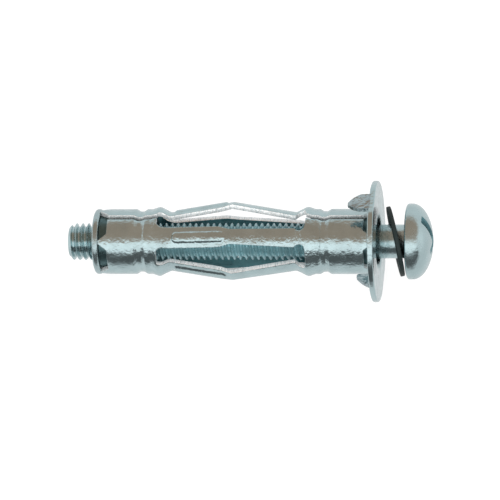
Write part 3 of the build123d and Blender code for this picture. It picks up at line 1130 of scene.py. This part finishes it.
studio = {
    "floorTouch": ((-37.0, -4.3), (0.4, -7.7)),  # where collar and flange rest
    "floorSize": 3.0,
    "floorGap": 0.02,
    "floorGlow": 0.86,
    "floorColor": (0.24, 0.24, 0.24, 1),
    "cardRadius": 0.6,
    "cardLength": 3.0,
    "cardSpan": (-134.0, 226.0),
    "cardEase": 6.0,
    "cards": (  # clock where each plain card begins, and its colour
        (-134.0, (0.85, 0.85, 0.85)),  # pale surround
        (-44.0, (0.14, 0.14, 0.14)),  # dark flag
        (8.0, (1.4, 1.4, 1.4)),  # softbox
        (46.0, (0.5, 0.36, 0.28)),  # warm wall
        (126.0, (0.85, 0.85, 0.85)),  # pale surround
    ),
    "cardSteps": 48,
    "lamps": {  # clock, x, distance, size in metres, power
        "overheadLamp": (78, -10, 500, (0.5, 0.5), 1.2),
        "frontLamp": (25, 20, 500, (0.4, 0.3), 2.4),
    },
    "lampAim": -18.0,
    "worldFill": 0.55,
}


def seenAsWhite(tree):
    # 1 for the rays that show the background, in the picture, in metal and through glass
    ray = addNode(tree, "ShaderNodeLightPath").outputs
    direct = mathNode(tree, "MAXIMUM", ray["Is Camera Ray"], ray["Is Glossy Ray"])
    return mathNode(tree, "MAXIMUM", direct, ray["Is Transmission Ray"])


def floorMaterial(spec):
    material = bpy.data.materials.new("paleFloor")
    material.use_nodes = True
    tree = material.node_tree
    tree.nodes.clear()
    strength = mathNode(tree, "MULTIPLY", seenAsWhite(tree), spec["floorGlow"])
    glow = addNode(tree, "ShaderNodeEmission", {"Color": (1, 1, 1, 1), "Strength": strength})
    lit = addNode(tree, "ShaderNodeBsdfDiffuse", {"Color": spec["floorColor"]})
    both = addNode(tree, "ShaderNodeAddShader")
    tree.links.new(glow.outputs[0], both.inputs[0])
    tree.links.new(lit.outputs[0], both.inputs[1])
    output = addNode(tree, "ShaderNodeOutputMaterial")
    tree.links.new(both.outputs[0], output.inputs["Surface"])
    return material


def floorPlane(spec):
    (x0, z0), (x1, z1) = spec["floorTouch"]
    slope = (z1 - z0) / (x1 - x0)
    reach = spec["floorSize"] / 2
    shape = bmesh.new()
    corners = []
    for x, y in ((-reach, -reach), (reach, -reach), (reach, reach), (-reach, reach)):
        z = z0 + slope * (x / mm - x0) - spec["floorGap"]
        corners.append(shape.verts.new((x, y, z * mm)))
    shape.faces.new(corners)
    floor = newPiece("floor", toMesh("floor", shape))
    floor.data.materials.append(floorMaterial(spec))
    floor.visible_glossy = False


def cardMaterial(spec):
    material = bpy.data.materials.new("mirrorCard")
    material.use_nodes = True
    tree = material.node_tree
    tree.nodes.clear()
    place = addNode(tree, "ShaderNodeUVMap", uv_map="clock").outputs[0]
    share = addNode(tree, "ShaderNodeSeparateXYZ", {0: place}).outputs
    low, high = spec["cardSpan"]
    stops = []
    cards = spec["cards"]
    for (_, color), (edge, nextColor) in zip(cards, cards[1:]):
        stops += [(edge - spec["cardEase"], color), (edge + spec["cardEase"], nextColor)]
    ramp = addNode(tree, "ShaderNodeValToRGB", {"Fac": share[0]})
    elements = ramp.color_ramp.elements
    while len(elements) < len(stops):
        elements.new(0.5)
    for element, (clock, color) in zip(elements, stops):
        element.position = (clock - low) / (high - low)
        element.color = tuple(color) + (1,)
    glow = addNode(tree, "ShaderNodeEmission", {"Color": ramp.outputs["Color"], "Strength": 1.0})
    output = addNode(tree, "ShaderNodeOutputMaterial")
    tree.links.new(glow.outputs[0], output.inputs["Surface"])
    return material


def mirrorCard(spec):
    shape = bmesh.new()
    layer = shape.loops.layers.uv.new("clock")
    low, high = spec["cardSpan"]
    steps = spec["cardSteps"]
    shares = {}
    rows = []
    for step in range(steps + 1):
        clock = low + (high - low) * step / steps
        row = []
        for end in (-1, 1):
            vert = shape.verts.new(atClock(end * spec["cardLength"] / 2 / mm, clock, spec["cardRadius"] / mm))
            shares[vert] = (step / steps, (end + 1) / 2)
            row.append(vert)
        rows.append(row)
    for near, far in zip(rows, rows[1:]):
        face = shape.faces.new((near[0], near[1], far[1], far[0]))
        for loop in face.loops:
            loop[layer].uv = shares[loop.vert]
    mesh = bpy.data.meshes.new("mirrorCard")
    shape.to_mesh(mesh)
    shape.free()
    card = newPiece("mirrorCard", mesh)
    card.data.materials.append(cardMaterial(spec))
    card.visible_camera = False
    card.visible_diffuse = False
    card.visible_shadow = False


def softLamp(name, aim, clock, x, distance, size, power):
    lamp = bpy.data.lights.new(name, "AREA")
    lamp.shape = "RECTANGLE"
    lamp.size, lamp.size_y = size
    lamp.energy = power
    holder = bpy.data.objects.new(name, lamp)
    bpy.context.scene.collection.objects.link(holder)
    holder.location = atClock(x, clock, distance)
    away = holder.location - Vector((aim * mm, 0, 0))
    holder.rotation_euler = away.to_track_quat("Z", "Y").to_euler()
    holder.visible_glossy = False


def studioWorld(spec):
    world = bpy.data.worlds.new("studio")
    bpy.context.scene.world = world
    world.use_nodes = True
    tree = world.node_tree
    tree.nodes.clear()
    strength = mathNode(tree, "MULTIPLY_ADD", seenAsWhite(tree), 1 - spec["worldFill"], spec["worldFill"])
    background = addNode(tree, "ShaderNodeBackground", {"Color": (1, 1, 1, 1), "Strength": strength})
    output = addNode(tree, "ShaderNodeOutputWorld")
    tree.links.new(background.outputs[0], output.inputs["Surface"])


floorPlane(studio)
mirrorCard(studio)
for lampName, setting in studio["lamps"].items():
    softLamp(lampName, studio["lampAim"], *setting)
studioWorld(studio)
print("studio set")


# camera at the photograph's angle, level with the anchor's axis

shot = {
    "azimuth": 11.6,
    "elevation": 46.0,
    "field": 66.1,
    "distance": 600.0,
    "aim": -16.42,
    "below": 1.127,
    "sensor": 36.0,
    "nearest": 0.01,
}


def shotCamera(spec):
    turn, rise = radians(spec["azimuth"]), radians(spec["elevation"])
    back = Vector((sin(turn) * cos(rise), -cos(turn) * cos(rise), sin(rise)))
    right = (Vector((1, 0, 0)) - back * back.x).normalized()
    up = back.cross(right)
    lens = bpy.data.cameras.new("shot")
    lens.sensor_width = spec["sensor"]
    lens.lens = lens.sensor_width * spec["distance"] / spec["field"]
    lens.clip_start = spec["nearest"]
    camera = bpy.data.objects.new("shot", lens)
    bpy.context.scene.collection.objects.link(camera)
    aim = Vector((spec["aim"], 0, 0)) - up * spec["below"]
    place = (aim + back * spec["distance"]) * mm
    camera.matrix_world = Matrix.Translation(place) @ Matrix((right, up, back)).transposed().to_4x4()
    bpy.context.scene.camera = camera


shotCamera(shot)
bpy.context.scene.view_settings.view_transform = "Standard"
